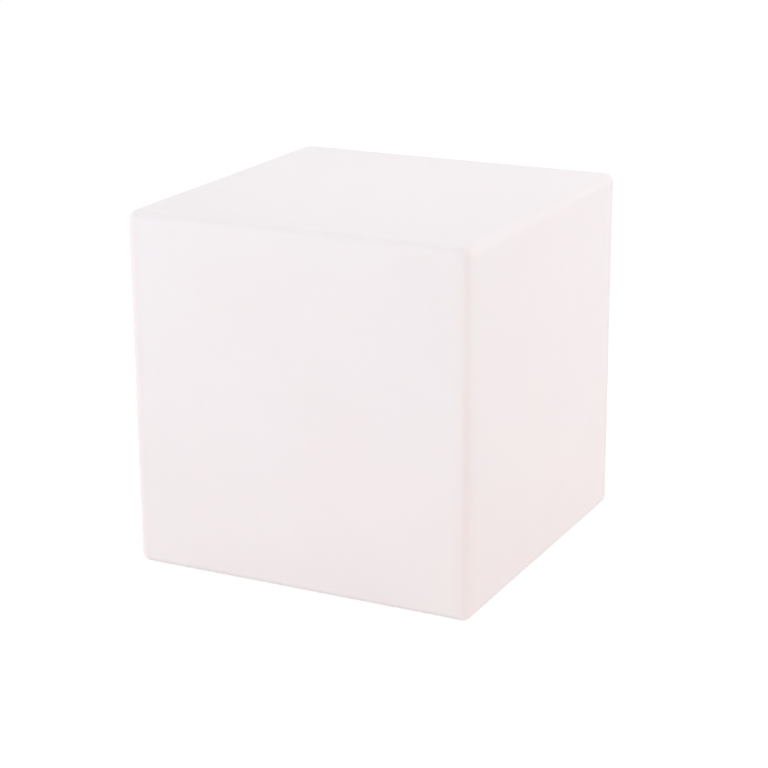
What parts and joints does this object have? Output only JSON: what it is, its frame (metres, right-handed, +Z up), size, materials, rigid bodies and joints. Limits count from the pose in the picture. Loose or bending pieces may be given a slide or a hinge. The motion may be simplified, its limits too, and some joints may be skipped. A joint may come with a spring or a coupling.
{
  "type": "led cube light",
  "caption": "Rechargeable cube light: a translucent moulded cube lit from a round light unit screwed into its underside, with a push switch and a covered charging socket.",
  "frame": {"origin": "middle of the cube's footprint, on the surface that its feet stand on", "axes": "+Z up; the front is -Y; the switch, charge lamp and socket lie in a row along X on the underside, with the switch towards -X"},
  "size_m": [0.4, 0.4, 0.4],
  "materials": {
    "white_shell": "satin, translucent moulded polyethylene",
    "white_moulding": "fine spark texture",
    "opal_diffuser": "opal, satin",
    "black_rubber": "matt",
    "white_rubber": "matt silicone",
    "grey_rubber": "matt silicone",
    "brass": "turned",
    "stainless": "bright, passivated",
    "nickel": "nickel plated",
    "zinc": "zinc plated",
    "spring_steel": "drawn wire",
    "aluminium": "rolled sheet",
    "white_board": "white solder resist",
    "green_board": "green solder resist",
    "thermal_pad": "soft silicone",
    "led_white": "moulded",
    "led_phosphor": "clear over phosphor",
    "black_chip": "moulded epoxy",
    "receiver": "dark infra-red filter",
    "header_plastic": "natural nylon",
    "can_aluminium": "sleeved can",
    "ferrite": "ferrite",
    "cell_sleeve": "heat shrink sleeve",
    "foam": "closed cell foam",
    "black_plastic": "moulded",
    "grey_plastic": "moulded",
    "lamp_lens": "diffused red",
    "wire_jacket": "soft vinyl"
  },
  "bodies": {
    "root": {"cube_shell": "white_shell", "threaded_inserts": "brass", "rubber_feet": "grey_rubber", "vent_plug": "white_moulding", "light_base": "white_moulding", "base_gasket": "grey_rubber", "base_screws": "stainless", "diffuser_dome": "opal_diffuser", "dome_screws": "stainless", "dome_seal": "black_rubber", "light_deck": "aluminium", "thermal_pad": "thermal_pad", "led_board": "white_board", "led_packages": "led_white", "led_lenses": "led_phosphor", "led_resistors": "black_chip", "remote_receiver": "receiver", "led_header": "header_plastic", "board_screws": "zinc", "deck_screws": "zinc", "control_board": "green_board", "control_screws": "zinc", "board_chips": "black_chip", "power_transistors": "black_chip", "capacitors": "can_aluminium", "charge_coil": "ferrite", "board_headers": "header_plastic", "lead_plugs": "header_plastic", "battery_cells": "cell_sleeve", "cell_tabs": "nickel", "cell_pad": "foam", "battery_bracket": "zinc", "bracket_screws": "zinc", "panel_seals": "black_rubber", "panel_nuts": "nickel", "switch_bush": "black_plastic", "switch_case": "black_plastic", "switch_terminals": "nickel", "button_spring": "spring_steel", "charge_socket": "black_plastic", "socket_contacts": "nickel", "cover_anchor": "white_rubber", "charge_lamp": "lamp_lens", "lamp_legs": "nickel", "switch_lead": "wire_jacket", "socket_lead": "wire_jacket", "lamp_lead": "wire_jacket", "led_lead": "wire_jacket", "battery_lead": "wire_jacket"},
    "power_button": {"power_button": "grey_plastic"},
    "port_cover": {"port_cover": "white_rubber"}
  },
  "joints": [
    {"name": "power_button_press", "type": "slide", "parent": "root", "child": "power_button", "axis": [0, 0, 1], "range_m": [0, 0.0015], "stiffness_N_per_m": 600, "springref_m": -0.002, "deforming": ["button_spring"]},
    {"name": "port_cover_hinge", "type": "hinge", "parent": "root", "child": "port_cover", "pos_m": [0.033, 0.001, 0.0032], "axis": [0, -1, 0], "range_deg": [0, 110]}
  ]
}
